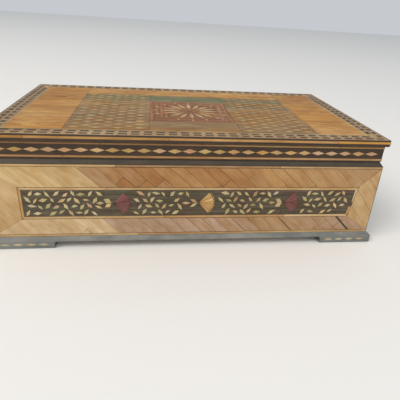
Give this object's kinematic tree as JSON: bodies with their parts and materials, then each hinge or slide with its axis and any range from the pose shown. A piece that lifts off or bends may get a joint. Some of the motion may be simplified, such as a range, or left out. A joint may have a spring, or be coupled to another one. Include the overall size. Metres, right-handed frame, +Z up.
{
  "type": "straw-work ditty box",
  "caption": "Low rectangular keepsake box on bracket feet, faced in straw marquetry, with a hinged flat lid and a black leaf panel along the front.",
  "frame": {"origin": "centre of the footprint, on the surface that the feet stand on", "axes": "+X to the right as seen from the front, +Y from the front to the hinged back, +Z up"},
  "size_m": [0.3052, 0.1792, 0.0909],
  "materials": {
    "softwood": "plain softwood carcass",
    "black_wood": "black-stained softwood, worn satin",
    "gold_straw": "split straw, honey gold, satin",
    "pale_straw": "split straw, pale, satin",
    "black_straw": "black-dyed straw, aged, satin",
    "leaf_straw": "cut straw, greenish cream, satin",
    "red_straw": "red-dyed straw, satin",
    "green_straw": "green and grey-brown dyed straw, faded",
    "russet_straw": "russet dyed straw, faded",
    "flock_paper": "matt flock paper",
    "brass": "dull old brass"
  },
  "bodies": {
    "base": {"bottom_board": "softwood", "wall_front": "softwood", "wall_right": "softwood", "wall_back": "softwood", "wall_left": "softwood", "rim_front": "black_wood", "rim_right": "black_wood", "rim_back": "black_wood", "rim_left": "black_wood", "plinth_front": "black_wood", "plinth_right": "black_wood", "plinth_back": "black_wood", "plinth_left": "black_wood", "foot_front_left": "black_wood", "foot_front_right": "black_wood", "foot_back_right": "black_wood", "foot_back_left": "black_wood", "foot_diamonds": "pale_straw", "parquet_front": "gold_straw", "parquet_right": "gold_straw", "parquet_back": "gold_straw", "parquet_left": "gold_straw", "stringing_front": "pale_straw", "stringing_right": "pale_straw", "stringing_back": "pale_straw", "stringing_left": "pale_straw", "panel_front": "black_straw", "panel_right": "black_straw", "panel_left": "black_straw", "leaves_front": "leaf_straw", "leaves_right": "leaf_straw", "leaves_left": "leaf_straw", "fans_red": "red_straw", "fans_gold": "gold_straw", "floor_lining": "flock_paper", "wall_lining": "flock_paper", "hinge_base_left": "brass", "hinge_base_right": "brass", "hinge_pin_left": "brass", "hinge_pin_right": "brass", "hinge_screws_base": "brass"},
    "lid": {"lid_board": "black_wood", "rail_front": "black_wood", "rail_right": "black_wood", "rail_back": "black_wood", "rail_left": "black_wood", "rail_stringing": "pale_straw", "rail_diamonds": "pale_straw", "board_edging": "gold_straw", "border_straw": "pale_straw", "border_bricks": "black_straw", "field_straw": "gold_straw", "middle_ground": "green_straw", "middle_square": "russet_straw", "middle_lozenges": "leaf_straw", "middle_star": "pale_straw", "hinge_lid_left": "brass", "hinge_lid_right": "brass", "hinge_screws_lid": "brass", "lid_lining": "flock_paper"}
  },
  "joints": [
    {"name": "lid_hinge", "type": "hinge", "parent": "base", "child": "lid", "pos_m": [0, 0.0844, 0.0723], "axis": [-1, 0, 0], "range_deg": [0, 145]}
  ]
}
